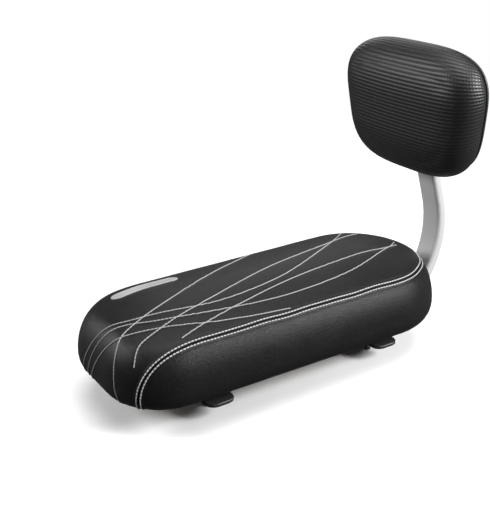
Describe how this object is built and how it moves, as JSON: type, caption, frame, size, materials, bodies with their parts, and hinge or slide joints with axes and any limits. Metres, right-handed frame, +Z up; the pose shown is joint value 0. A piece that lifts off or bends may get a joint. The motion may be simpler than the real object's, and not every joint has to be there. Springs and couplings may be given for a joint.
{
  "type": "child bike seat",
  "caption": "Padded child seat for a bicycle's rear rack: a leatherette cushion on a board with clamp plates beneath, and a small backrest on a curved flat post.",
  "frame": {"origin": "middle of the seat board's underside, the face that lies on the rack", "axes": "+Z up, +Y to the rear of the bicycle, +X to the rider's left"},
  "size_m": [0.161, 0.3722, 0.2731],
  "materials": {
    "leatherette": "satin",
    "woven_vinyl": "satin",
    "foam": "matte",
    "plywood": "matte",
    "black_steel": "satin",
    "silver_paint": "satin",
    "zinc": "satin",
    "black_plastic": "matte",
    "stitching": "matte",
    "badge": "satin"
  },
  "bodies": {
    "root": {"seat_cover": "leatherette", "seat_foam": "foam", "seat_board": "plywood", "front_clamp_plate": "black_steel", "rear_clamp_plate": "black_steel", "foot_plate": "silver_paint", "backrest_post": "silver_paint", "post_foot_plug": "black_plastic", "post_top_plug": "black_plastic", "backrest_cover": "woven_vinyl", "backrest_foam": "foam", "backrest_board": "plywood", "backrest_back_panel": "black_plastic", "front_left_carriage_bolt": "zinc", "front_left_washer": "zinc", "front_left_spring_washer": "zinc", "front_left_nut": "zinc", "front_right_carriage_bolt": "zinc", "front_right_washer": "zinc", "front_right_spring_washer": "zinc", "front_right_nut": "zinc", "rear_left_carriage_bolt": "zinc", "rear_left_washer": "zinc", "rear_left_spring_washer": "zinc", "rear_left_nut": "zinc", "rear_right_carriage_bolt": "zinc", "rear_right_washer": "zinc", "rear_right_spring_washer": "zinc", "rear_right_nut": "zinc", "foot_bolt_left": "zinc", "foot_washer_left": "zinc", "foot_spring_washer_left": "zinc", "foot_tee_nut_left": "zinc", "foot_bolt_right": "zinc", "foot_washer_right": "zinc", "foot_spring_washer_right": "zinc", "foot_tee_nut_right": "zinc", "backrest_bolt_upper": "zinc", "backrest_washer_upper": "zinc", "backrest_spring_washer_upper": "zinc", "backrest_tee_nut_upper": "zinc", "backrest_bolt_lower": "zinc", "backrest_washer_lower": "zinc", "backrest_spring_washer_lower": "zinc", "backrest_tee_nut_lower": "zinc"}
  },
  "joints": []
}
